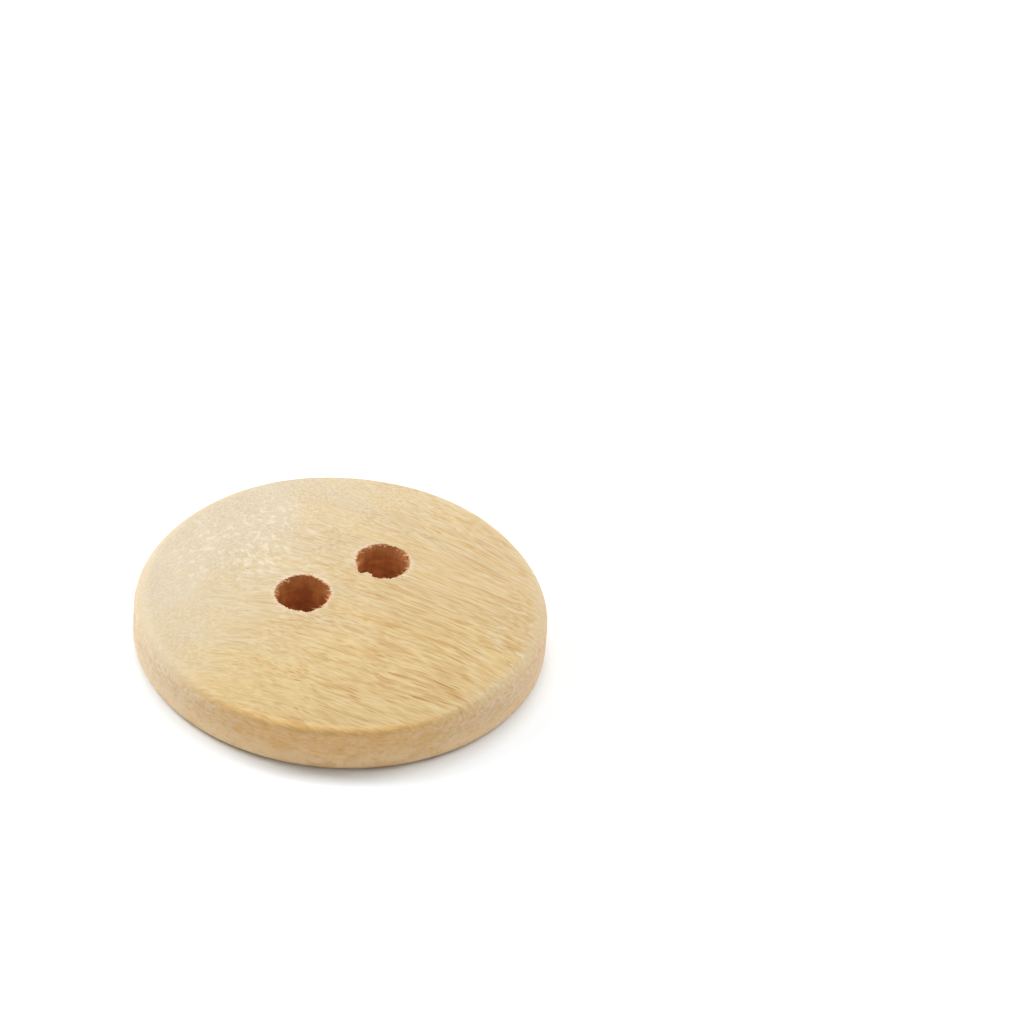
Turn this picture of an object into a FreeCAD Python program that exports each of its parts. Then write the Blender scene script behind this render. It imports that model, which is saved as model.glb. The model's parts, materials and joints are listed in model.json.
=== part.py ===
"""A two-hole sew-on button, turned and drilled from one piece of pale hardwood.

The button is a round disc. Its face is a shallow dome, its side wall is straight, its back is flat, and
every edge is softened as tumbling leaves it. Two through holes take the sewing thread.

Frame: millimetres, +Z out of the face, origin at the centre of the flat back. The two sewing holes lie on
the X axis, one each side of the origin.
"""

import FreeCAD, Part
import math
import os

import Sketcher

PARTS_FOLDER = "parts"
FULL_TURN = 360.0

# How far a measured size may be from the one that is wanted.
RADIUS_TOLERANCE = 1e-4
VOLUME_TOLERANCE = 0.04

# A sewing hole opens on the face and on the back.
HOLE_COUNT = 2
MOUTHS_PER_HOLE = 2
POINTS_ALONG_EDGE = 8

# Sketcher's own numbers for the points of a curve, the sketch's origin and its two axes.
START, END, CENTRE = 1, 2, 3
SKETCH_ORIGIN, ORIGIN_POINT = -1, 1
HORIZONTAL_AXIS, VERTICAL_AXIS = -1, -2

# Driving dimensions: alias, millimetres, what it measures.
SIZES = (
    ("outer_diameter", 20.0, "across the side wall"),
    ("middle_thickness", 4.0, "flat back to the top of the dome"),
    ("side_height", 2.4, "flat back to where the dome meets the side wall, before rounding"),
    ("face_edge_round", 0.3, "rounding where the dome meets the side wall"),
    ("back_edge_round", 0.5, "rounding where the side wall meets the flat back"),
    ("hole_diameter", 2.7, "across each sewing hole"),
    ("hole_spacing", 4.7, "between the centres of the sewing holes"),
    ("mouth_round", 0.1, "rounding at both mouths of each sewing hole"),
)


def make_sheet(doc):
    """The spreadsheet that every feature takes its sizes from."""
    sheet = doc.addObject("Spreadsheet::Sheet", "Sizes")
    for row, (alias, value, meaning) in enumerate(SIZES, start=1):
        sheet.set(f"A{row}", alias)
        sheet.set(f"B{row}", str(value))
        sheet.set(f"C{row}", meaning)
        sheet.setAlias(f"B{row}", alias)
    doc.recompute()
    return sheet


def origin_feature(body, role):
    """One of the body's own origin planes or axes."""
    return next(feature for feature in body.Origin.OriginFeatures if feature.Role == role)


def new_sketch(body, name, role):
    """An empty sketch on one of the body's origin planes."""
    sketch = body.newObject("Sketcher::SketchObject", name)
    sketch.AttachmentSupport = [(origin_feature(body, role), "")]
    sketch.MapMode = "FlatFace"
    return sketch


def bind(sketch, name, constraint, expression):
    """Adds a dimension to a sketch, names it, and ties it to the sheet."""
    index = sketch.addConstraint(constraint)
    sketch.renameConstraint(index, name)
    sketch.setExpression(f"Constraints.{name}", expression)


def half_section(body, sheet):
    """Half of the section, from the axis outwards, in the plane that runs clear between the holes."""
    radius = sheet.outer_diameter / 2
    side, top = sheet.side_height, sheet.middle_thickness
    dome = top - side
    dome_radius = (radius**2 + dome**2) / (2 * dome)
    half_way = radius / 2
    half_way_height = top - dome_radius + math.sqrt(dome_radius**2 - half_way**2)
    sketch = new_sketch(body, "HalfSection", "YZ_Plane")

    def at(x, z):
        return FreeCAD.Vector(x, z, 0)

    back = sketch.addGeometry(Part.LineSegment(at(0, 0), at(radius, 0)))
    wall = sketch.addGeometry(Part.LineSegment(at(radius, 0), at(radius, side)))
    face = sketch.addGeometry(Part.Arc(at(radius, side), at(half_way, half_way_height), at(0, top)))
    axis = sketch.addGeometry(Part.LineSegment(at(0, top), at(0, 0)))

    sketch.addConstraint(Sketcher.Constraint("Coincident", back, START, SKETCH_ORIGIN, ORIGIN_POINT))
    sketch.addConstraint(Sketcher.Constraint("Coincident", back, END, wall, START))
    sketch.addConstraint(Sketcher.Constraint("Coincident", wall, END, face, START))
    sketch.addConstraint(Sketcher.Constraint("Coincident", face, END, axis, START))
    sketch.addConstraint(Sketcher.Constraint("Coincident", axis, END, back, START))
    sketch.addConstraint(Sketcher.Constraint("Horizontal", back))
    sketch.addConstraint(Sketcher.Constraint("Vertical", wall))
    sketch.addConstraint(Sketcher.Constraint("Vertical", axis))
    sketch.addConstraint(Sketcher.Constraint("PointOnObject", face, CENTRE, VERTICAL_AXIS))
    bind(sketch, "radius", Sketcher.Constraint("DistanceX", back, START, back, END, radius),
         "Sizes.outer_diameter / 2")
    bind(sketch, "side", Sketcher.Constraint("DistanceY", wall, START, wall, END, side),
         "Sizes.side_height")
    bind(sketch, "top", Sketcher.Constraint("DistanceY", back, START, face, END, top),
         "Sizes.middle_thickness")
    return sketch


def turned_disc(body, section):
    """The solid disc, turned about its own axis."""
    turning = body.newObject("PartDesign::Revolution", "TurnedDisc")
    turning.Profile = section
    turning.ReferenceAxis = (section, ["V_Axis"])
    turning.Angle = FULL_TURN
    section.Visibility = False
    return turning


def real_edges(shape):
    """The shape's edges with their names, without the point-sized one at the top of the dome."""
    numbered = enumerate(shape.Edges, start=1)
    return [(f"Edge{number}", edge) for number, edge in numbered if not edge.Degenerated]


def rim_edges(shape, radius):
    """Names of the full circles of the side wall's radius, lowest first."""
    found = []
    for name, edge in real_edges(shape):
        curve = edge.Curve
        if not isinstance(curve, Part.Circle) or not edge.isClosed():
            continue
        if abs(curve.Radius - radius) < RADIUS_TOLERANCE:
            found.append((curve.Center.z, name))
    return [name for _, name in sorted(found)]


def mouth_edges(shape, radius, spacing):
    """Names of the edges where the hole walls meet the face and the back."""
    found = []
    for name, edge in real_edges(shape):
        points = edge.discretize(POINTS_ALONG_EDGE)
        reach = [math.hypot(abs(point.x) - spacing / 2, point.y) for point in points]
        on_wall = all(abs(distance - radius) < RADIUS_TOLERANCE for distance in reach)
        rise = max(point.z for point in points) - min(point.z for point in points)
        if on_wall and rise < radius:
            found.append(name)
    return found


def rounded(body, name, base, edges, size):
    """Rounds the named edges of a feature by a size from the sheet."""
    fillet = body.newObject("PartDesign::Fillet", name)
    fillet.Base = (base, edges)
    fillet.setExpression("Radius", f"Sizes.{size}")
    return fillet


def drilled_holes(doc, body, sheet):
    """One through hole beside the centre and its twin, a half turn round the axis."""
    offset, radius = sheet.hole_spacing / 2, sheet.hole_diameter / 2
    sketch = new_sketch(body, "HoleCircle", "XY_Plane")
    drill = Part.Circle(FreeCAD.Vector(offset, 0, 0), FreeCAD.Vector(0, 0, 1), radius)
    circle = sketch.addGeometry(drill)
    sketch.addConstraint(Sketcher.Constraint("PointOnObject", circle, CENTRE, HORIZONTAL_AXIS))
    across = Sketcher.Constraint("DistanceX", SKETCH_ORIGIN, ORIGIN_POINT, circle, CENTRE, offset)
    bind(sketch, "offset", across, "Sizes.hole_spacing / 2")
    bind(sketch, "bore", Sketcher.Constraint("Diameter", circle, 2 * radius), "Sizes.hole_diameter")

    drilling = body.newObject("PartDesign::Pocket", "DrilledHole")
    drilling.Profile = sketch
    drilling.Type = "ThroughAll"
    drilling.Reversed = True
    sketch.Visibility = False
    doc.recompute()

    pair = body.newObject("PartDesign::PolarPattern", "HolePair")
    pair.Originals = [drilling]
    pair.Axis = (origin_feature(body, "Z_Axis"), [""])
    pair.Angle = FULL_TURN
    pair.Occurrences = HOLE_COUNT
    body.Tip = pair
    doc.recompute()
    return pair


def check_drilling(before, after, sheet):
    """Stops the script if the holes took away much more or less than two cylinders of wood."""
    one_hole = math.pi * (sheet.hole_diameter / 2) ** 2 * sheet.middle_thickness
    expected = HOLE_COUNT * one_hole
    removed = before.Volume - after.Volume
    if abs(removed - expected) > VOLUME_TOLERANCE * expected:
        raise RuntimeError(f"the holes took {removed:.2f} mm3 away, and not about {expected:.2f}")


def button_disc(doc, sheet):
    """The whole button: one solid disc with its edges rounded and its two holes drilled."""
    body = doc.addObject("PartDesign::Body", "ButtonDisc")
    body.Label = "button_disc"
    disc = turned_disc(body, half_section(body, sheet))
    doc.recompute()

    radius = sheet.outer_diameter / 2
    back_edge = rim_edges(disc.Shape, radius)[0]
    soft_back = rounded(body, "SoftBackEdge", disc, [back_edge], "back_edge_round")
    doc.recompute()
    face_edge = rim_edges(soft_back.Shape, radius)[-1]
    soft_disc = rounded(body, "SoftFaceEdge", soft_back, [face_edge], "face_edge_round")
    doc.recompute()

    pair = drilled_holes(doc, body, sheet)
    check_drilling(soft_disc.Shape, pair.Shape, sheet)

    mouths = mouth_edges(pair.Shape, sheet.hole_diameter / 2, sheet.hole_spacing)
    if len(mouths) != HOLE_COUNT * MOUTHS_PER_HOLE:
        raise RuntimeError(f"found {len(mouths)} hole mouths, and not {HOLE_COUNT * MOUTHS_PER_HOLE}")
    body.Tip = rounded(body, "SoftMouths", pair, mouths, "mouth_round")
    doc.recompute()
    return body


def check(doc, parts):
    """Stops the script if any object of the document failed, or a part isn't one good solid."""
    for item in doc.Objects:
        if "Invalid" in item.State or "Error" in item.State:
            raise RuntimeError(f"{item.Name} failed: {item.State}")
    for part in parts:
        shape = part.Shape
        if shape.isNull() or not shape.isValid() or len(shape.Solids) != 1:
            raise RuntimeError(f"{part.Label} isn't one valid solid")


def main():
    doc = FreeCAD.newDocument("SewOnButton")
    sheet = make_sheet(doc)
    parts = [button_disc(doc, sheet)]
    check(doc, parts)
    os.makedirs(PARTS_FOLDER, exist_ok=True)
    for part in parts:
        part.Shape.exportStep(os.path.join(PARTS_FOLDER, part.Label + ".step"))
        box = part.Shape.optimalBoundingBox(False)
        print(f"{part.Label}: {box.XLength:.3f} x {box.YLength:.3f} x {box.ZLength:.3f} mm, "
              f"z {box.ZMin:.3f} to {box.ZMax:.3f}, {part.Shape.Volume:.1f} mm3")


main()
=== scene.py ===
# A two-hole sew-on button of pale wood: its worn shape, its grain, and the table and light it is seen in.
import json
import math

import bpy
from mathutils import Matrix, Vector


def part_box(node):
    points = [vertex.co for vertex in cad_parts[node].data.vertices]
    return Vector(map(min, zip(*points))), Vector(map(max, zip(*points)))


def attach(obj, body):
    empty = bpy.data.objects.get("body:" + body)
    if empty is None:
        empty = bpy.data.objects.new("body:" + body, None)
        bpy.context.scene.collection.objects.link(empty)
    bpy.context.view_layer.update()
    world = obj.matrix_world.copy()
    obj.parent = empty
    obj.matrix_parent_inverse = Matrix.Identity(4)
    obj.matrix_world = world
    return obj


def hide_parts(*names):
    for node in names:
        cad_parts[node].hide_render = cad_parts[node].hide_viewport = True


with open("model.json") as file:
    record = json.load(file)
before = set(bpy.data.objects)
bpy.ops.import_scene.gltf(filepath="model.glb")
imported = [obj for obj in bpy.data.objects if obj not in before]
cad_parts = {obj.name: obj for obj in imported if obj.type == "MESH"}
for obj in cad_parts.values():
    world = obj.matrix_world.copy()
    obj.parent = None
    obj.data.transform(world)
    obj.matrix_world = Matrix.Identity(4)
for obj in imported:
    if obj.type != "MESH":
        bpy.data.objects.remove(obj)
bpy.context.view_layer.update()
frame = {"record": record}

MM = 0.001
NEARLY_NOTHING = 1e-5

# ---------------------------------------------------------------------------------------------------------
# Sizes. The trees that shape the button take metres, and the patterns in the wood take millimetres.

MOUNTS = {mount["name"]: mount for mount in frame["record"]["mounts"]}
RIGHT_HOLE = MOUNTS["sewing_hole_right"]

BUTTON_LOW, BUTTON_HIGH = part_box("button_disc")
OUTER_RADIUS = (BUTTON_HIGH.x - BUTTON_LOW.x) / 2
THICKNESS = BUTTON_HIGH.z
SIDE_HEIGHT = 0.6 * THICKNESS
HOLE_RADIUS = RIGHT_HOLE["dims"]["r_mm"] * MM
HOLE_OFFSET = RIGHT_HOLE["pos_m"][0]

DISC_SIZES = {
    "Outer Radius": OUTER_RADIUS,
    "Thickness": THICKNESS,
    "Side Height": SIDE_HEIGHT,
    "Hole Radius": HOLE_RADIUS,
    "Hole Offset": HOLE_OFFSET,
}
DISC_IN_MM = {name: size / MM for name, size in DISC_SIZES.items()}

# The button is meshed in two halves. The rays of a half run from its hole to its outline, most of them to
# the rim and the rest to the middle line, and the rows cross them. At the corners between the rim and the
# line, the rows change their spacing over this share of the outline.
RAYS = 384
RIM_RAYS = 260
CORNER_BLEND = 0.05
BUTTON_SIZES = DISC_SIZES | {
    "Face Edge Round": 0.30 * MM,
    "Back Edge Round": 0.50 * MM,
    "Mouth Round": 0.06 * MM,
    "End Grain Wear": 0.35 * MM,
    "Rim Share": RIM_RAYS / RAYS,
    "Rays": RAYS,
    "Face Rows": 76,
    "Back Rows": 20,
    "Side Rows": 20,
    "Wall Rows": 14,
}
WELD_DISTANCE = 0.0008 * MM

# How far the outline and the edges are out of true, in long swells and in small dents, in millimetres.
SWELL = 0.05
DENTS = 0.018

# How deep the drill tore the mouths, in small tears, in wide bites and in fuzz left standing, and how far
# that goes: down the wall from the face, up it from the back, and out from it. All are millimetres.
TEARS = 0.12
BITES = 0.12
FUZZ = 0.07
TORN_DOWN = 0.55
TORN_UP = 0.45
TORN_OUT = 0.35

# How the mouths are out of round on the face. A bearing is in degrees round the axis of the hole, and a push
# is outwards in millimetres. An oval is (bearing, push), and a bump is (bearing, reach to each side, push).
RIGHT_OVAL = (32, 0.08)
RIGHT_BUMPS = ((184, 14, 0.1), (204, 11, -0.2))
RIGHT_OVERSIZE = 0.03
LEFT_BUMPS = ((204, 40, -0.07), (14, 24, -0.06), (248, 12, 0.05))

# Slivers of fibre that hang over the mouths: their sizes, and the least and the most that one may start
# below the dome in millimetres, stray from the grain's heading and lean from upright in radians, and be
# long as a share of the full length.
FIBRE_SIZES = DISC_SIZES | {
    "Fibres": 100,
    "Fibre Length": 0.34 * MM,
    "Fibre Radius": 0.026 * MM,
    "Fibre Root": 0.03 * MM,
}
FIBRE_SIDES = 4
FIBRE_JOINTS = 2
FIBRE_TAPER = 0.25
FIBRE_START = (0.02, 0.14)
FIBRE_STRAY = (-0.5, 0.5)
FIBRE_TILT = (1.35, 1.75)
FIBRE_SHARE = (0.25, 1.0)

# The grain runs across the face at this heading from +X, and dives into the wood at this angle. Away from
# the near side it fans out by a slope, from a place along it in millimetres. Towards the steep side it dives
# further in the same way, so that the fibres are cut across there.
GRAIN_HEADING = math.radians(-52)
GRAIN_DIVE = math.radians(9)
FAN_SLOPE = 0.48
FAN_START = -3.0
STEEP_SIDE = Vector((-0.35, 0.94, 0.0))
STEEP_SLOPE = 0.55
STEEP_START = -5.8

# The ends of the fibres come out of the side wall at this heading and opposite it.
END_GRAIN_HEADING = math.radians(-39)
NEAR_SIDE_HEADING = math.radians(-129)

# Torn, chalky fibres show most round here, in millimetres.
FLECKED_PATCH = (-1.5, 5.0, 3.5)

# A small bird's eye, where the fibres lift round a bud: its middle, its reach and its lift in millimetres.
EYE_PLACE = (-6.0, 2.9, 3.4)
EYE_REACH = 1.5
EYE_LIFT = 0.9


# ---------------------------------------------------------------------------------------------------------
# Formulas as nodes


class Term:
    """One output of a node. Arithmetic on terms adds the math nodes that do it."""

    def __init__(self, tree, socket):
        self.tree = tree
        self.socket = socket

    def __add__(self, other):
        return calc("ADD", self, other)

    def __radd__(self, other):
        return calc("ADD", other, self)

    def __sub__(self, other):
        return calc("SUBTRACT", self, other)

    def __rsub__(self, other):
        return calc("SUBTRACT", other, self)

    def __mul__(self, other):
        return calc("MULTIPLY", self, other)

    def __truediv__(self, other):
        return calc("DIVIDE", self, other)


def feed(tree, socket, value):
    """Joins a term to a socket, or sets a plain value on it."""
    if isinstance(value, Term):
        tree.links.new(value.socket, socket)
    else:
        socket.default_value = value


def add_node(tree, kind, inputs=None, **settings):
    """A new node with its settings made and its inputs fed."""
    node = tree.nodes.new(kind)
    for name, value in settings.items():
        setattr(node, name, value)
    for key, value in (inputs or {}).items():
        feed(tree, node.inputs[key], value)
    return node


def result(tree, kind, inputs=None, output=0, **settings):
    """One output of a new node."""
    return Term(tree, add_node(tree, kind, inputs, **settings).outputs[output])


def tree_of(values):
    """The tree that the terms among some values are in."""
    return next(value.tree for value in values if isinstance(value, Term))


def is_vector(value):
    if isinstance(value, Term):
        return value.socket.type == "VECTOR"
    return not isinstance(value, (int, float))


def calc(operation, *values):
    """The math node for an operation on terms and numbers, a vector one where a value is a vector."""
    tree = tree_of(values)
    vectors = [is_vector(value) for value in values]
    if not any(vectors):
        return result(tree, "ShaderNodeMath", dict(enumerate(values)), operation=operation)
    if operation == "MULTIPLY" and not all(vectors):
        vector, factor = values if vectors[0] else reversed(values)
        return result(tree, "ShaderNodeVectorMath", {0: vector, "Scale": factor}, operation="SCALE")
    output = "Value" if operation in ("DOT_PRODUCT", "LENGTH", "DISTANCE") else "Vector"
    return result(tree, "ShaderNodeVectorMath", dict(enumerate(values)), output, operation=operation)


def combine(x, y, z):
    return result(tree_of((x, y, z)), "ShaderNodeCombineXYZ", {0: x, 1: y, 2: z})


def separate(vector):
    node = add_node(vector.tree, "ShaderNodeSeparateXYZ", {0: vector})
    return [Term(vector.tree, output) for output in node.outputs]


def choose(condition, when_true, when_false):
    """when_true where the condition is 1, when_false where it is 0, and a blend of them between."""
    return when_false + (when_true - when_false) * condition


def ramp(value, low, high, to_low=0.0, to_high=1.0, smooth=True):
    """Follows value from low to high as a share from to_low to to_high, and stops at both ends."""
    kind = "SMOOTHSTEP" if smooth else "LINEAR"
    limits = {0: value, 1: low, 2: high, 3: to_low, 4: to_high}
    return result(value.tree, "ShaderNodeMapRange", limits, interpolation_type=kind)


def noise(place, detail=2.0, roughness=0.5):
    """Soft noise from 0 to 1, about one swelling for each unit of place."""
    inputs = {"Vector": place, "Scale": 1.0, "Detail": detail, "Roughness": roughness}
    return result(place.tree, "ShaderNodeTexNoise", inputs, noise_dimensions="3D")


def cells(place):
    """Distance to the nearest of the points that are scattered one for each unit of place."""
    inputs = {"Vector": place, "Scale": 1.0, "Randomness": 1.0}
    return result(place.tree, "ShaderNodeTexVoronoi", inputs, "Distance", feature="F1")


def mix_colour(factor, first, second, blend="MIX"):
    """The second colour over the first, by factor. A Mix node's colours are its inputs 6 and 7."""
    inputs = {"Factor": factor, 6: first, 7: second}
    tree = tree_of((factor, first, second))
    return result(tree, "ShaderNodeMix", inputs, output=2, data_type="RGBA", blend_type=blend)


def far_along(place, axis):
    """How far a place lies along an axis."""
    return calc("DOT_PRODUCT", place, tuple(axis))


def toward(place, heading):
    """How far a place lies towards a heading in the plane of the button."""
    return far_along(place, (math.cos(heading), math.sin(heading), 0.0))


# ---------------------------------------------------------------------------------------------------------
# The run of the grain


def grain_axes():
    """Unit vectors along the grain, across it in the face, and across it into the wood."""
    level = math.cos(GRAIN_DIVE)
    along = Vector((level * math.cos(GRAIN_HEADING), level * math.sin(GRAIN_HEADING), -math.sin(GRAIN_DIVE)))
    across = Vector((-math.sin(GRAIN_HEADING), math.cos(GRAIN_HEADING), 0.0))
    return along, across, along.cross(across)


def steep_share(place):
    """From 0 to 1 towards the side of the face where the fibres are cut across."""
    return ramp(far_along(place, STEEP_SIDE), 1.0, 4.5)


def grain_coordinates(place):
    """Millimetres along the grain, across it and into the wood, with the grain's own sweep and waves."""
    along, across, through = [far_along(place, axis) for axis in grain_axes()]

    fan = ramp(across, -2.0, 8.0, to_high=FAN_SLOPE)
    swept = across + fan * (along - FAN_START)
    lift = ramp(calc("DISTANCE", place, EYE_PLACE), 0.0, EYE_REACH, EYE_LIFT, 0.0)
    dived = through + steep_share(place) * STEEP_SLOPE * (along - STEEP_START) + lift

    wander_place = combine(along * 0.09, swept * 0.16, dived * 0.16)
    wander_across = noise(wander_place, detail=1.0) - 0.5
    wander_through = noise(wander_place + (7.7, 3.1, 9.2), detail=1.0) - 0.5
    shiver_place = combine(along * 0.7, swept * 1.1, dived * 1.1)
    shiver = noise(shiver_place + (2.2, 8.1, 4.4), detail=1.0) - 0.5
    return combine(along, swept + wander_across * 2.4 + shiver * 0.2,
                   dived + wander_through * 1.3 + shiver * 0.15)


def stretched(grain, along, across, seed=0.0):
    """Grain coordinates scaled to so many swellings a millimetre along the grain and across it."""
    return grain * (along, across, across) + (seed, 2.3 * seed, 5.1 * seed)


# ---------------------------------------------------------------------------------------------------------
# Working with meshes in a tree


def geometry_tree(name, sizes):
    """An empty tree with a geometry output and a named input for each size, with its terms by name."""
    tree = bpy.data.node_groups.new(name, "GeometryNodeTree")
    tree.interface.new_socket(name="Geometry", in_out="OUTPUT", socket_type="NodeSocketGeometry")
    for label, value in sizes.items():
        kind = "NodeSocketInt" if isinstance(value, int) else "NodeSocketFloat"
        tree.interface.new_socket(name=label, in_out="INPUT", socket_type=kind).default_value = value
    source = tree.nodes.new("NodeGroupInput")
    return tree, {label: Term(tree, source.outputs[label]) for label in sizes}


def position(tree):
    return result(tree, "GeometryNodeInputPosition")


def normal(tree):
    return result(tree, "GeometryNodeInputNormal")


def grid(tree, columns, rows):
    """A grid one metre square, centred on the origin."""
    counts = {"Size X": 1.0, "Size Y": 1.0, "Vertices X": columns + 1, "Vertices Y": rows + 1}
    return result(tree, "GeometryNodeMeshGrid", counts, "Mesh")


def grid_shares(tree):
    """How far along the grid's columns and its rows a point of it is, each from 0 to 1."""
    column, row, _ = separate(position(tree) + (0.5, 0.5, 0.0))
    return column, row


def placed(mesh, where):
    """The mesh with its points moved to where."""
    return result(mesh.tree, "GeometryNodeSetPosition", {"Geometry": mesh, "Position": where})


def pushed(mesh, offset):
    """The mesh with its points moved by an offset."""
    return result(mesh.tree, "GeometryNodeSetPosition", {"Geometry": mesh, "Offset": offset})


def joined(tree, meshes):
    node = tree.nodes.new("GeometryNodeJoinGeometry")
    for mesh in meshes:
        tree.links.new(mesh.socket, node.inputs[0])
    return Term(tree, node.outputs[0])


def merged(mesh, distance):
    return result(mesh.tree, "GeometryNodeMergeByDistance", {"Geometry": mesh, "Distance": distance})


def flipped(mesh):
    return result(mesh.tree, "GeometryNodeFlipFaces", {"Mesh": mesh})


def turned_about(mesh, angle):
    """The mesh turned about the axis of the button."""
    return result(mesh.tree, "GeometryNodeTransform", {"Geometry": mesh, "Rotation": (0.0, 0.0, angle)})


def marked(mesh, name, amount):
    """The mesh with a number kept on its points for the material."""
    inputs = {"Geometry": mesh, "Name": name, "Value": amount}
    return result(mesh.tree, "GeometryNodeStoreNamedAttribute", inputs, data_type="FLOAT", domain="POINT")


def random_value(tree, limits, seed):
    """A random number for each point. A Random Value node's floats are its inputs 2 and 3 and output 1."""
    low, high = limits
    inputs = {2: low, 3: high, "Seed": seed}
    return result(tree, "FunctionNodeRandomValue", inputs, output=1, data_type="FLOAT")


def finished(tree, geometry, material):
    """Makes real meshes of any copies, gives them their material, and ends the tree."""
    solid = result(tree, "GeometryNodeRealizeInstances", {0: geometry})
    painted = add_node(tree, "GeometryNodeSetMaterial", {"Geometry": solid, "Material": material})
    output = tree.nodes.new("NodeGroupOutput")
    tree.links.new(painted.outputs[0], output.inputs[0])


def made_by(tree, name, sizes):
    """A plain mesh object made by a tree from its named sizes."""
    holder = bpy.data.objects.new(name, bpy.data.meshes.new(name))
    bpy.context.scene.collection.objects.link(holder)
    modifier = holder.modifiers.new("shape", "NODES")
    modifier.node_group = tree
    for item in tree.interface.items_tree:
        if item.in_out == "INPUT":
            modifier[item.identifier] = sizes[item.name]
    evaluated = holder.evaluated_get(bpy.context.evaluated_depsgraph_get())
    mesh = bpy.data.meshes.new_from_object(evaluated)
    holder.modifiers.clear()
    holder.data = mesh
    mesh.name = name
    return holder


# ---------------------------------------------------------------------------------------------------------
# The button's shape


def plan_point(size, walk, reach):
    """X and Y of a point of the right half of the disc.

    walk goes once round the half's outline from 0 to 1, first along the rim and then down the middle line.
    reach goes from the wall of the sewing hole at 0 out to that outline at 1.
    """
    share = size["Rim Share"]
    on_rim = calc("LESS_THAN", walk, share + NEARLY_NOTHING)
    turn = (walk / share - 0.5) * math.pi
    down = 1.0 - (walk - share) / (1.0 - share) * 2.0
    edge_x = choose(on_rim, calc("COSINE", turn) * size["Outer Radius"], 0.0)
    edge_y = choose(on_rim, calc("SINE", turn), down) * size["Outer Radius"]

    bearing = (walk - share * 0.5) * (2 * math.pi)
    wall_x = size["Hole Offset"] + calc("COSINE", bearing) * size["Hole Radius"]
    wall_y = calc("SINE", bearing) * size["Hole Radius"]
    return choose(reach, edge_x, wall_x), choose(reach, edge_y, wall_y)


def quarter_round(inset, radius):
    """How far a rounded edge drops at a distance inside the wall that it rounds over to."""
    short = calc("MAXIMUM", radius - inset, 0.0)
    return radius - calc("SQRT", calc("MAXIMUM", radius * radius - short * short, 0.0))


def distances(size, x, y):
    """Distance from the middle of the disc, inside its rim, and outside the wall of the right hole."""
    from_middle = calc("SQRT", x * x + y * y)
    inside_rim = calc("MAXIMUM", size["Outer Radius"] - from_middle, 0.0)
    aside = x - size["Hole Offset"]
    outside_hole = calc("MAXIMUM", calc("SQRT", aside * aside + y * y) - size["Hole Radius"], 0.0)
    return from_middle, inside_rim, outside_hole


def extra_edge_wear(size, x, y):
    """How much further the edge of the face is rounded where it crosses the ends of the fibres."""
    aside = x * math.cos(END_GRAIN_HEADING) + y * math.sin(END_GRAIN_HEADING)
    across_ends = calc("ABSOLUTE", aside) / size["Outer Radius"]
    return ramp(across_ends, 0.4, 0.95) * size["End Grain Wear"]


def dome_sag(size, from_middle):
    """How far the dome has dropped at a distance from the middle of the disc."""
    rise = size["Thickness"] - size["Side Height"]
    dome_radius = (size["Outer Radius"] * size["Outer Radius"] + rise * rise) / (rise * 2.0)
    return dome_radius - calc("SQRT", dome_radius * dome_radius - from_middle * from_middle)


def face_height(size, x, y):
    """Height of the domed face, with the rounding at the rim and at the mouth of the hole."""
    from_middle, inside_rim, outside_hole = distances(size, x, y)
    rim_drop = quarter_round(inside_rim, size["Face Edge Round"] + extra_edge_wear(size, x, y))
    mouth_drop = quarter_round(outside_hole, size["Mouth Round"])
    return size["Thickness"] - dome_sag(size, from_middle) - rim_drop - mouth_drop


def back_height(size, x, y):
    """Height of the flat back, which only leaves the table at its rounded edges."""
    _, inside_rim, outside_hole = distances(size, x, y)
    at_rim = quarter_round(inside_rim, size["Back Edge Round"])
    return at_rim + quarter_round(outside_hole, size["Mouth Round"])


def crowded(size, walk, share):
    """The share of the way along a ray, with the rows crowded where an edge is rounded.

    Rows crowd at the hole on every ray, and at the far end too on the rays that end at the rim.
    """
    from_corner = calc("MINIMUM", walk - size["Rim Share"], 1.0 - walk)
    at_rim = 1.0 - ramp(from_corner, 0.0, CORNER_BLEND)
    at_both_ends = share * share * (3.0 - share * 2.0)
    at_hole_only = share * share * (1.5 - share * 0.5)
    return choose(at_rim, at_both_ends, at_hole_only)


def flat_sheet(tree, size, rows, height):
    """The face or the back of the right half."""
    walk, reach = grid_shares(tree)
    x, y = plan_point(size, walk, crowded(size, walk, reach))
    return placed(grid(tree, size["Rays"], rows), combine(x, y, height(size, x, y)))


def standing_wall(tree, size, rows, reach):
    """The rim or the wall of the hole, from the edge of the back up to the edge of the face."""
    walk, climb = grid_shares(tree)
    x, y = plan_point(size, walk, reach)
    height = choose(climb, face_height(size, x, y), back_height(size, x, y))
    return placed(grid(tree, size["Rays"], rows), combine(x, y, height))


def without_middle_wall(mesh, size):
    """The rim without the part of it that would stand on the middle line, inside the wood."""
    x, _, _ = separate(position(mesh.tree))
    on_line = calc("LESS_THAN", x, size["Outer Radius"] * NEARLY_NOTHING)
    share = result(mesh.tree, "GeometryNodeFieldOnDomain", {0: on_line}, domain="FACE")
    every_corner = calc("GREATER_THAN", share, 1.0 - NEARLY_NOTHING)
    inputs = {"Geometry": mesh, "Selection": every_corner}
    return result(mesh.tree, "GeometryNodeDeleteGeometry", inputs, domain="FACE")


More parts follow.
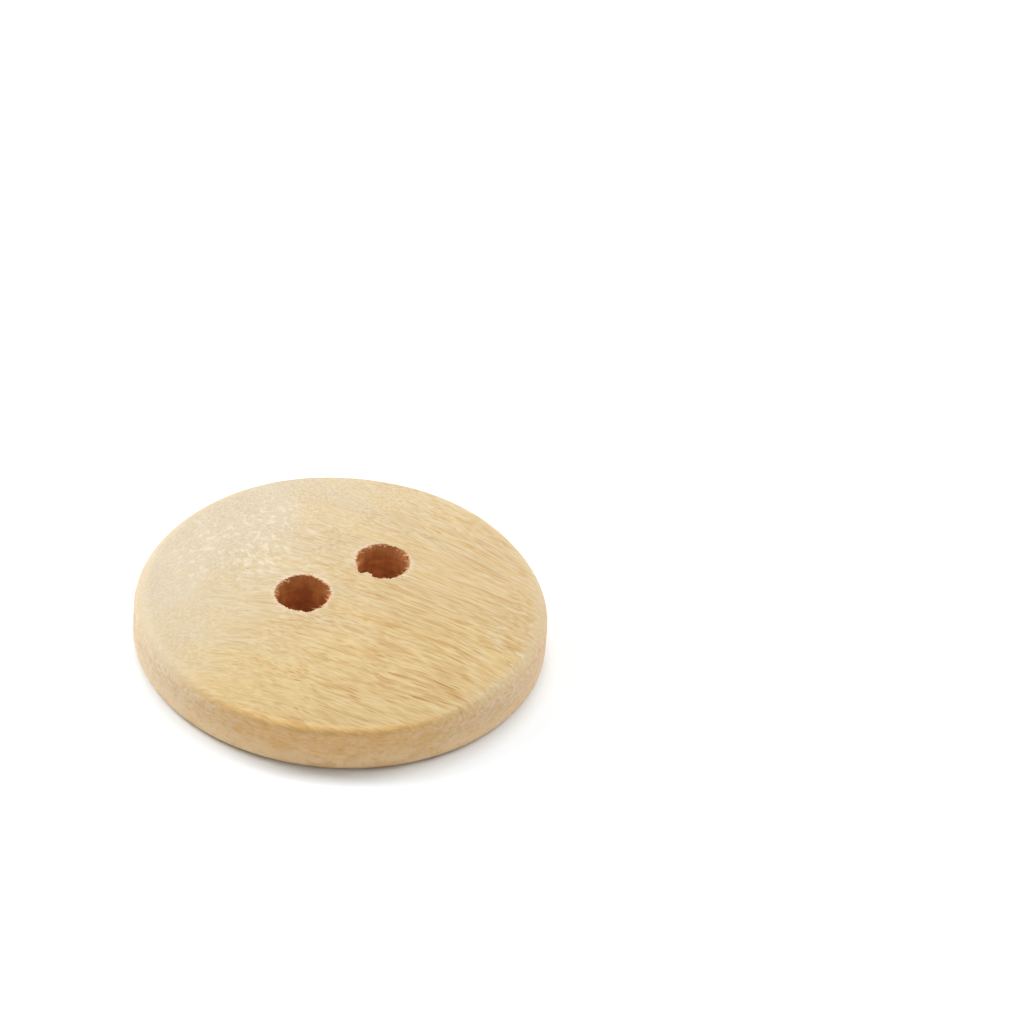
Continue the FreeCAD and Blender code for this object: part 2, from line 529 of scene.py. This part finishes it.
def half_button(tree, size):
    """The right half of the button, open on the middle line, with the drilled wall marked as scorched."""
    x, y, _ = separate(position(tree))
    _, _, outside_hole = distances(size, x, y)
    lip = ramp(outside_hole, 0.0, size["Mouth Round"], 1.0, 0.0)
    face = flipped(flat_sheet(tree, size, size["Face Rows"], face_height))
    back = flat_sheet(tree, size, size["Back Rows"], back_height)
    rim = without_middle_wall(standing_wall(tree, size, size["Side Rows"], 1.0), size)
    wall = flipped(standing_wall(tree, size, size["Wall Rows"], 0.0))
    return joined(tree, [marked(face, "scorch", lip), back, rim, marked(wall, "scorch", 1.0)])


def worn_edges(mesh):
    """Slight unevenness of the whole outline and of both edges, as tumbling leaves it."""
    place = position(mesh.tree) * (1 / MM)
    _, _, height = separate(place)
    swell = noise(place * 0.22, detail=1.0) - 0.5
    dents = noise(place * 0.8 + (4.0, 1.0, 8.0), detail=2.0) - 0.5
    off_back = ramp(height, 0.0, 0.4)
    return pushed(mesh, normal(mesh.tree) * ((swell * SWELL + dents * DENTS) * off_back * MM))


def below_dome(place):
    """Millimetres below the dome that the face follows."""
    x, y, height = separate(place)
    return THICKNESS / MM - dome_sag(DISC_IN_MM, calc("SQRT", x * x + y * y)) - height


def from_near_hole(place):
    """Offset in the plane from the axis of the nearer sewing hole, and +1 or -1 for the hole's side."""
    x, y, _ = separate(place)
    side = calc("SIGN", x)
    return combine(x - side * (HOLE_OFFSET / MM), y, 0.0), side


def bump(outward, bearing, reach, push):
    """A push that is strongest at a bearing round a hole and is gone at so many degrees beside it."""
    ahead = toward(outward, math.radians(bearing))
    return ramp(ahead, math.cos(math.radians(reach)), 1.0, 0.0, push)


def oval(outward, bearing, push):
    """A push outwards along a bearing and its opposite, and inwards half way between them."""
    ahead = toward(outward, math.radians(bearing))
    return (ahead * ahead * 2.0 - 1.0) * push


def out_of_round(outward, side):
    """How far each mouth's outline lies outside a true circle, with a flake left over the right one."""
    right = oval(outward, *RIGHT_OVAL) + sum(bump(outward, *parts) for parts in RIGHT_BUMPS) + RIGHT_OVERSIZE
    left = sum(bump(outward, *parts) for parts in LEFT_BUMPS)
    return choose(ramp(side, -0.5, 0.5), right, left)


def torn_edge(place):
    """How far the drill tore the wood back from a mouth, at three scales."""
    tear = noise(place * 9.0, detail=1.0) - 0.5
    bite = noise(place * 2.6 + (1.0, 6.0, 2.0), detail=1.0) - 0.5
    fuzz = ramp(noise(place * 17.0 + (5.0, 2.0, 3.0), detail=0.0), 0.45, 0.75)
    return tear * TEARS + bite * BITES - fuzz * FUZZ


def ragged_mouths(mesh):
    """The button with its hole mouths as the drill leaves them, fuzzy and not quite round."""
    place = position(mesh.tree) * (1 / MM)
    _, _, height = separate(place)
    from_axis, side = from_near_hole(place)
    outward = calc("NORMALIZE", from_axis)
    near_face = ramp(below_dome(place), 0.05, TORN_DOWN, 1.0, 0.0)
    near_back = ramp(height, 0.0, TORN_UP, 1.0, 0.0)
    beside_hole = ramp(calc("LENGTH", from_axis) - HOLE_RADIUS / MM, 0.0, TORN_OUT, 1.0, 0.0)
    torn = torn_edge(place) * calc("MAXIMUM", near_face, near_back)
    worn = out_of_round(outward, side) * near_face
    return pushed(mesh, outward * ((torn + worn) * beside_hole * MM))


def button_tree(material):
    """The whole button: two halves, one a half turn from the other, joined and worn."""
    tree, size = geometry_tree("turned_button", BUTTON_SIZES)
    half = half_button(tree, size)
    whole = merged(joined(tree, [half, turned_about(half, math.pi)]), WELD_DISTANCE)
    worn = ragged_mouths(worn_edges(whole))
    smooth = result(tree, "GeometryNodeSetShadeSmooth", {"Geometry": worn, "Shade Smooth": True})
    finished(tree, smooth, material)
    return tree


# ---------------------------------------------------------------------------------------------------------
# The torn fibres


def fibre_roots(tree, size, bearing):
    """A point for each fibre, just outside the wall of one hole or the other and just below the face."""
    line = result(tree, "GeometryNodeMeshLine", {"Count": size["Fibres"]})
    number = result(tree, "GeometryNodeInputIndex")
    side = calc("FLOORED_MODULO", number, 2.0) * 2.0 - 1.0
    root = size["Hole Radius"] + size["Fibre Root"]
    x = calc("COSINE", bearing) * root + size["Hole Offset"] * side
    y = calc("SINE", bearing) * root
    dome = size["Thickness"] - dome_sag(size, calc("SQRT", x * x + y * y))
    return placed(line, combine(x, y, dome - random_value(tree, FIBRE_START, seed=5) * MM))


def fibre_tree(material):
    """Torn ends of fibres that hang over the mouths of both holes, each a thin four-sided sliver.

    They lie along the grain, pointing into the hole, and are longest where the grain meets its wall head on.
    """
    tree, size = geometry_tree("torn_fibres", FIBRE_SIZES)
    bearing = random_value(tree, (0.0, 2 * math.pi), seed=3)
    sliver = result(tree, "GeometryNodeMeshCone", {
        "Vertices": FIBRE_SIDES, "Side Segments": FIBRE_JOINTS, "Depth": size["Fibre Length"],
        "Radius Bottom": size["Fibre Radius"], "Radius Top": size["Fibre Radius"] * FIBRE_TAPER,
    }, "Mesh")
    facing = calc("COSINE", bearing - GRAIN_HEADING)
    inward = ramp(facing, -0.001, 0.001, 0.0, math.pi)
    heading = inward + GRAIN_HEADING + random_value(tree, FIBRE_STRAY, seed=7)
    head_on = ramp(calc("ABSOLUTE", facing), 0.1, 0.8, to_low=0.35)
    copies = result(tree, "GeometryNodeInstanceOnPoints", {
        "Points": fibre_roots(tree, size, bearing), "Instance": sliver,
        "Rotation": combine(0.0, random_value(tree, FIBRE_TILT, seed=11), heading),
        "Scale": combine(1.0, 1.0, random_value(tree, FIBRE_SHARE, seed=19) * head_on),
    })
    finished(tree, copies, material)
    return tree


# ---------------------------------------------------------------------------------------------------------
# The wood


def srgb(red, green, blue):
    """A colour as a painter's 0 to 255 swatch, in the linear values that shaders use."""
    def linear(value):
        share = value / 255
        return share / 12.92 if share <= 0.04045 else ((share + 0.055) / 1.055) ** 2.4
    return (linear(red), linear(green), linear(blue), 1.0)


# The face. A tint multiplies the colour under it.
# CREAM is the face's pale far-side tone, with a painted sheen of the bright backdrop in it as well.
CREAM = srgb(190, 178, 155)
HONEY = srgb(199, 175, 123)
STROKE_TINT = srgb(218, 194, 156)
VESSEL_TINT = srgb(212, 172, 120)
STREAK_TINT = srgb(232, 205, 160)
CHALK_FLECK = srgb(206, 194, 175)

# The side wall and the edge above it.
SIDE_TAN = srgb(222, 179, 118)
SIDE_HONEY = srgb(209, 186, 140)
END_CHALK = srgb(208, 188, 152)
ROSY_FLECK = srgb(216, 192, 172)
ROSY_TINT = srgb(252, 241, 229)
# A painted light that the white table throws up onto the foot of the side wall.
TABLE_BOUNCE_TAN = srgb(241, 210, 162)
ARRIS_AMBER = srgb(231, 186, 114)
GOLDEN_TAN = srgb(212, 160, 84)

# The drilled wall and the fibres over it.
SCORCHED = srgb(222, 160, 98)
CHARRED = srgb(178, 116, 70)
MOUTH_AMBER = srgb(223, 161, 103)
FIBRE_CREAM = srgb(234, 212, 176)
FIBRE_TAN = srgb(212, 174, 122)


def new_material(name):
    material = bpy.data.materials.new(name)
    material.use_nodes = True
    material.node_tree.nodes.clear()
    return material, material.node_tree


def object_place(tree):
    """Object coordinates in millimetres."""
    return result(tree, "ShaderNodeTexCoord", output="Object") * (1 / MM)


def relief(height, strength, distance):
    """The surface's normal, tilted by a fine relief."""
    inputs = {"Height": height, "Strength": strength, "Distance": distance}
    return result(height.tree, "ShaderNodeBump", inputs)


def surfaced(tree, finish):
    """Ends a material with the one shader that has this finish."""
    shader = add_node(tree, "ShaderNodeBsdfPrincipled", finish)
    output = tree.nodes.new("ShaderNodeOutputMaterial")
    tree.links.new(shader.outputs[0], output.inputs["Surface"])


def fibre_strokes(grain):
    """Fine dark and light strokes of the fibres, from 0, a pale fibre, to 1, a dark one."""
    strand = noise(stretched(grain, along=0.75, across=7.0), detail=1.0)
    fine = noise(stretched(grain, along=1.4, across=12.0, seed=3.0), detail=1.0)
    hair = noise(stretched(grain, along=2.2, across=22.0, seed=6.0), detail=0.0)
    return ramp(strand * 0.45 + fine * 0.35 + hair * 0.2, 0.35, 0.63)


def vessel_marks(grain):
    """Open vessels: long slits where they run along the surface, and dots where it cuts them across."""
    return ramp(cells(stretched(grain, along=0.34, across=8.2, seed=2.0)), 0.32, 0.12)


def face_tone_and_sheen(place, grain):
    """From 0, pale at the far left, partly the wood's own tone and partly a painted sheen of the bright
    backdrop, to 1, honey-coloured wood at the near side.
    """
    x, y, _ = separate(place)
    band = noise(stretched(grain, along=0.05, across=0.5, seed=5.0), detail=2.0) - 0.5
    # Paler towards the far side (+Y): partly the wood's tone, partly a painted sheen of the backdrop.
    return ramp(0.55 - y * 0.075 * (1.0 - x * 0.08) + band * 0.9, 0.0, 1.0, smooth=False)


def chalky_flecks(place, grain, cloud):
    """Pale, torn ends of fibres, thick in one patch of the face and thin over the end grain."""
    fleck = noise(stretched(grain, along=1.2, across=2.6, seed=8.0), detail=2.0)
    from_patch = calc("DISTANCE", place, FLECKED_PATCH) + (cloud - 0.5) * 7.0
    in_patch = ramp(from_patch, 5.5, 1.5, to_high=0.85)
    over_ends = ramp(toward(place, END_GRAIN_HEADING), 5.0, 8.5, to_low=0.05, to_high=0.4)
    return ramp(fleck, 0.48, 0.66) * calc("MAXIMUM", in_patch, over_ends)


def stroke_contrast(place, cloud):
    """How strongly the strokes show: less at the left, and less where the fibres are cut across."""
    x, y, _ = separate(place)
    cloudy = ramp(cloud, 0.3, 0.65, to_low=0.38, to_high=0.64)
    rightward = ramp(x - y * 0.3, -6.0, 1.0, to_low=0.68)
    return cloudy * (1.0 - steep_share(place) * 0.18) * rightward


def figured_share(place, grain):
    """How strongly vessels and streaks show: most at the near right, and in long patches."""
    x, y, _ = separate(place)
    patches = noise(stretched(grain, along=0.08, across=0.35, seed=9.0), detail=1.0) - 0.5
    return ramp(x * 0.04 - y * 0.12 + patches * 1.8, -0.7, 0.8, to_low=0.15, to_high=1.1)


def face_colour(place, grain, strokes, vessels):
    """The sanded face: its tone, paler at the far side partly as a painted sheen, its chalky flecks, its
    fine strokes, and its streaks and open vessels.
    """
    cloud = noise(place * 0.42 + (3.0, 5.0, 1.0), detail=2.0)
    streaks = ramp(noise(stretched(grain, along=0.24, across=4.6, seed=12.0), detail=2.0), 0.48, 0.66)
    figured = figured_share(place, grain)
    colour = mix_colour(face_tone_and_sheen(place, grain), CREAM, HONEY)
    colour = mix_colour(chalky_flecks(place, grain, cloud), colour, CHALK_FLECK)
    colour = mix_colour(strokes * stroke_contrast(place, cloud), colour, STROKE_TINT, "MULTIPLY")
    colour = mix_colour(streaks * figured * 0.45, colour, STREAK_TINT, "MULTIPLY")
    return mix_colour(vessels * figured * 0.56, colour, VESSEL_TINT, "MULTIPLY")


def with_pale_rings(place, colour):
    """The face with paler raised fibres round the mouth of each hole."""
    x, y, _ = separate(place)
    aside = calc("ABSOLUTE", x) - HOLE_OFFSET / MM
    from_wall = calc("SQRT", aside * aside + y * y) - HOLE_RADIUS / MM
    ring = from_wall + (noise(place * 5.0, detail=2.0) - 0.5) * 0.5
    return mix_colour(ramp(ring, 0.26, 0.0, to_high=0.45), colour, CHALK_FLECK)


def side_wall_colour(place, end_grain, near_side, mottle, strokes, vessels):
    """The side wall: tan where it shows the sides of the fibres, chalky and rosy at their ends, and paler
    towards its foot as a painted light thrown up from the white table.
    """
    _, _, height = separate(place)
    # Paler towards the foot of the wall, most on the near side: a painted light thrown up from the white
    # table.
    table_bounce_light = ramp(height, 1.7, 0.3, to_high=0.75) * (0.4 + near_side * 0.6)
    golden = ramp(noise(place * (0.9, 0.9, 1.6), detail=3.0), 0.46, 0.62) * near_side * 0.45
    wall = mix_colour(end_grain, mix_colour(near_side, SIDE_HONEY, SIDE_TAN), END_CHALK)
    wall = mix_colour(strokes * 0.35 + vessels * 0.25, wall, STROKE_TINT, "MULTIPLY")
    wall = mix_colour(table_bounce_light, wall, TABLE_BOUNCE_TAN)
    wall = mix_colour(golden, wall, GOLDEN_TAN)
    wall = mix_colour(ramp(mottle, 0.42, 0.7) * (end_grain * 0.5 + 0.25), wall, ROSY_FLECK)
    wall = mix_colour(ramp(mottle, 0.5, 0.3, to_high=0.35), wall, STROKE_TINT, "MULTIPLY")
    return mix_colour(ramp(toward(place, END_GRAIN_HEADING), 4.0, 10.0), wall, ROSY_TINT, "MULTIPLY")


def with_rim(place, colour, strokes, vessels):
    """The face with its edge, chalky over the end grain and amber at the near side, and the wall below."""
    x, y, height = separate(place)
    from_middle = calc("SQRT", x * x + y * y)
    end_grain = ramp(calc("ABSOLUTE", toward(place, END_GRAIN_HEADING) / from_middle), 0.25, 0.95)
    near_side = ramp(toward(place, NEAR_SIDE_HEADING), 4.0, 9.5)
    mottle = noise(place * (2.6, 2.6, 5.0), detail=4.0, roughness=0.7)

    colour = mix_colour(ramp(from_middle, 9.1, 9.8, to_high=0.5) * end_grain, colour, END_CHALK)
    arris = ramp(from_middle, 9.5, 9.9) * (1.0 - end_grain) * near_side
    arris = arris * ramp(mottle, 0.35, 0.6, to_low=0.35, to_high=0.8)
    colour = mix_colour(arris, colour, ARRIS_AMBER)
    colour = mix_colour(arris * strokes * 0.6, colour, STROKE_TINT, "MULTIPLY")

    wall = side_wall_colour(place, end_grain, near_side, mottle, strokes, vessels)
    return mix_colour(ramp(height - from_middle * 0.2, 0.38, 0.12), colour, wall)


def scorched_colour(place):
    """The drilled wall: friction-browned in streaks, rings and blotches, and clearer by the mouth."""
    streak = noise(place * (4.0, 4.0, 0.7), detail=2.0)
    ring = noise(place * (0.9, 0.9, 5.0), detail=3.0, roughness=0.6)
    blotch = noise(place * 1.5, detail=3.0)
    charring = ramp(streak * 0.25 + ring * 0.3 + blotch * 0.45, 0.36, 0.62)
    near_mouth = ramp(below_dome(place), 0.9, 0.0)
    return mix_colour(near_mouth * near_mouth, mix_colour(charring, SCORCHED, CHARRED), MOUTH_AMBER)


def pale_wood():
    """Fine, unvarnished pale hardwood, with scorched drill holes."""
    material, tree = new_material("pale_wood")
    place = object_place(tree)
    grain = grain_coordinates(place)
    strokes = fibre_strokes(grain)
    vessels = vessel_marks(grain)

    colour = with_pale_rings(place, face_colour(place, grain, strokes, vessels))
    colour = with_rim(place, colour, strokes, vessels)
    scorch = result(tree, "ShaderNodeAttribute", output="Fac", attribute_name="scorch")
    surfaced(tree, {
        "Base Color": mix_colour(scorch, colour, scorched_colour(place)),
        "Roughness": ramp(strokes, 0.0, 1.0, to_low=0.52, to_high=0.68),
        "Normal": relief(strokes * -0.5 + vessels * -0.9, strength=0.35, distance=0.02 * MM),
    })
    return material


def torn_fibre():
    """Pale, dry fibre ends, each a little different."""
    material, tree = new_material("torn_fibre")
    place = object_place(tree)
    tone = ramp(noise(place * 4.0, detail=2.0), 0.35, 0.65)
    strands = noise(place * (30.0, 30.0, 8.0))
    surfaced(tree, {
        "Base Color": mix_colour(tone, FIBRE_CREAM, FIBRE_TAN),
        "Roughness": 0.8,
        "Normal": relief(strands, strength=0.3, distance=0.01 * MM),
    })
    return material


# ---------------------------------------------------------------------------------------------------------
# Table, light and camera

VIEW_AZIMUTH = math.radians(-39.03)
VIEW_ELEVATION = math.radians(37.37)
VIEW_ROLL = math.radians(4.61)
VIEW_DISTANCE = 0.300
VIEW_AIM = Vector((0.01322, 0.00383, 0.0))
SENSOR_WIDTH = 36.0
LENS = 210.9
NEAREST_SEEN = 0.01
FARTHEST_SEEN = 10.0

ROOM_COLOUR = (1.0, 1.0, 1.0, 1.0)
ROOM_DIM = 0.25
ROOM_BRIGHT = 0.5
BACKDROP_HEIGHT = math.radians(25)

TABLE_REACH = 1.5
TABLE_COLOUR = (0.90, 0.93, 0.95, 1.0)

# Soft lamps: degrees round the button from the viewer, degrees above the table, and watts.
LAMPS = {
    "overhead_lamp": (180, 70, 1.3),
    "left_lamp": (-115, 38, 2.85),
    "right_lamp": (115, 38, 1.75),
}
LAMP_DISTANCE = 0.6
LAMP_SIZE = 0.3


def direction_back(azimuth, elevation):
    """From the aim back to the viewer. Azimuth 0 looks along +Y."""
    level = math.cos(elevation)
    return Vector((math.sin(azimuth) * level, -math.cos(azimuth) * level, math.sin(elevation)))


def camera():
    data = bpy.data.cameras.new("camera")
    data.sensor_width = SENSOR_WIDTH
    data.lens = LENS
    data.clip_start = NEAREST_SEEN
    data.clip_end = FARTHEST_SEEN
    seen_from = bpy.data.objects.new("camera", data)
    bpy.context.scene.collection.objects.link(seen_from)
    back = direction_back(VIEW_AZIMUTH, VIEW_ELEVATION)
    stand = Matrix.Translation(VIEW_AIM + back * VIEW_DISTANCE)
    level = back.to_track_quat("Z", "Y").to_matrix().to_4x4()
    seen_from.matrix_world = stand @ level @ Matrix.Rotation(VIEW_ROLL, 4, "Z")
    bpy.context.scene.camera = seen_from


def soft_lamp(name, around, elevation, power):
    """A square soft lamp that looks at the button."""
    data = bpy.data.lights.new(name, "AREA")
    data.shape = "SQUARE"
    data.size = LAMP_SIZE
    data.energy = power
    lamp = bpy.data.objects.new(name, data)
    bpy.context.scene.collection.objects.link(lamp)
    back = direction_back(VIEW_AZIMUTH + math.radians(around), math.radians(elevation))
    lamp.location = back * LAMP_DISTANCE
    lamp.rotation_mode = "QUATERNION"
    lamp.rotation_quaternion = back.to_track_quat("Z", "Y")


def surround():
    """A bright white backdrop behind the button that falls off to a dim room on the viewer's side."""
    room = bpy.data.worlds.new("surround")
    room.use_nodes = True
    tree = room.node_tree
    heading = result(tree, "ShaderNodeTexCoord", output="Generated")
    facing = far_along(heading, direction_back(VIEW_AZIMUTH + math.pi, BACKDROP_HEIGHT))
    backdrop = tree.nodes["Background"]
    feed(tree, backdrop.inputs["Color"], ROOM_COLOUR)
    feed(tree, backdrop.inputs["Strength"], ramp(facing, -1.0, 0.1, ROOM_DIM, ROOM_BRIGHT))
    bpy.context.scene.world = room


def table():
    """A wide white table top."""
    mesh = bpy.data.meshes.new("table_top")
    signs = ((-1, -1), (1, -1), (1, 1), (-1, 1))
    corners = [(TABLE_REACH * x, TABLE_REACH * y, 0) for x, y in signs]
    mesh.from_pydata(corners, [], [(0, 1, 2, 3)])
    top = bpy.data.objects.new("table_top", mesh)
    bpy.context.scene.collection.objects.link(top)
    material, tree = new_material("white_table")
    surfaced(tree, {"Base Color": TABLE_COLOUR, "Roughness": 0.6, "Specular IOR Level": 0.1})
    mesh.materials.append(material)


def build():
    camera()
    surround()
    table()
    for name, (around, elevation, power) in LAMPS.items():
        soft_lamp(name, around, elevation, power)
    bpy.context.scene.view_settings.view_transform = "Standard"

    button = made_by(button_tree(pale_wood()), "wooden_button", BUTTON_SIZES)
    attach(button, "root")
    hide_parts("button_disc")

    fibres = made_by(fibre_tree(torn_fibre()), "torn_fibres", FIBRE_SIZES)
    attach(fibres, "root")


build()
